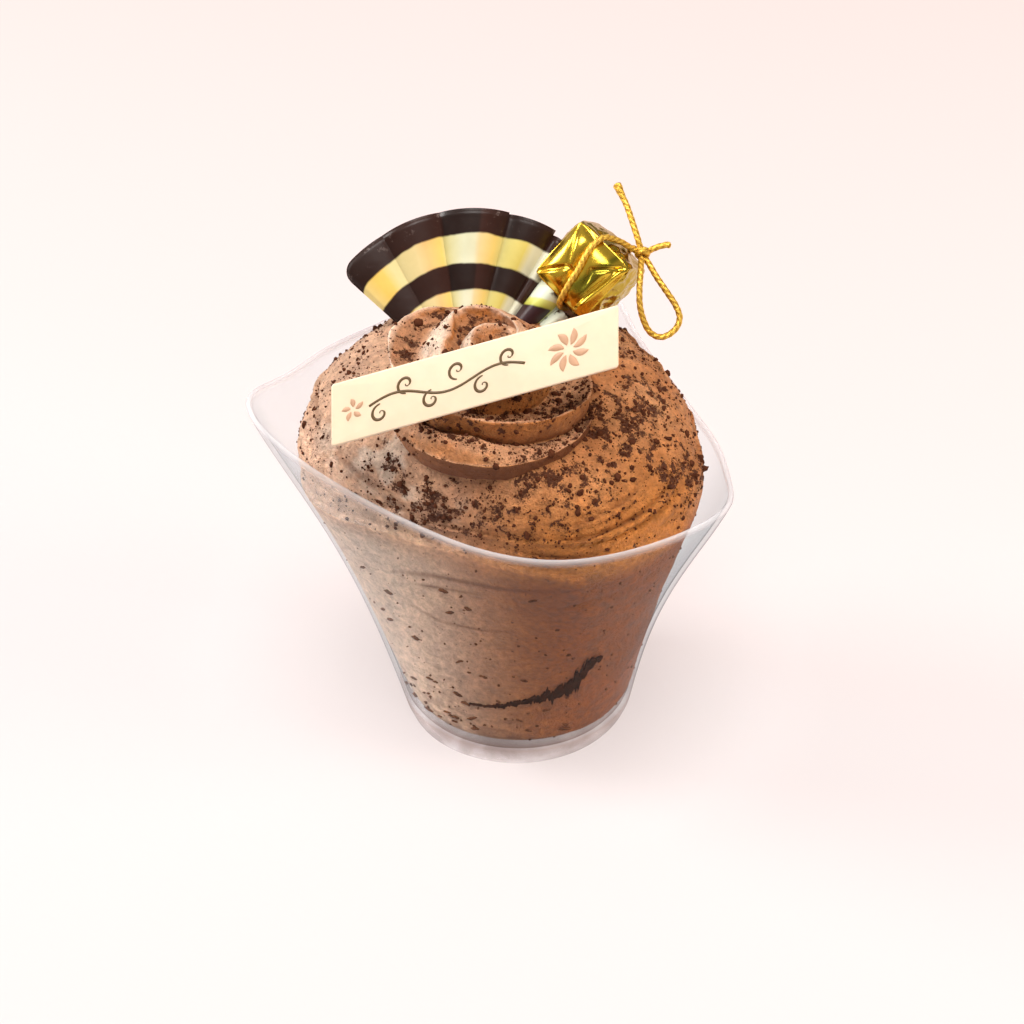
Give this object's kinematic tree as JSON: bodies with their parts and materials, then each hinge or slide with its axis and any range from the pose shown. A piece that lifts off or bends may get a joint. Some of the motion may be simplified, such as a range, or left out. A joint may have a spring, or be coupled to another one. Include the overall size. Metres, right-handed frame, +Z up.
{
  "type": "chocolate mousse cup",
  "caption": "Chocolate mousse in a clear three-cornered cup, topped with a piped rosette, a pleated striped chocolate fan, a white chocolate plaque and a foil parcel with a tie.",
  "frame": {"origin": "bottom centre of the whole model's bounding box, on the surface the cup stands on", "axes": "+Z up, one corner of the cup towards +Y and one straight edge towards -Y, so the tall and low corners are left and right"},
  "size_m": [0.0948, 0.0866, 0.1081],
  "materials": {
    "clear_plastic": "clear moulded polystyrene, glossy",
    "mousse": "aerated chocolate mousse, matte, with dark crumbs on top",
    "striped_chocolate": "dark chocolate with cream and yellow bands, satin",
    "white_chocolate": "ivory white chocolate, satin",
    "gold_foil": "crinkled gold foil, shiny",
    "gold_cord": "braided metallic gold cord"
  },
  "bodies": {
    "root": {"cup": "clear_plastic", "mousse": "mousse", "rosette": "mousse", "fan": "striped_chocolate", "plaque": "white_chocolate", "parcel": "gold_foil", "tie_wrap": "gold_cord", "tie_loop": "gold_cord", "tie_long_end": "gold_cord", "tie_short_end": "gold_cord", "tie_knot": "gold_cord"}
  },
  "joints": []
}
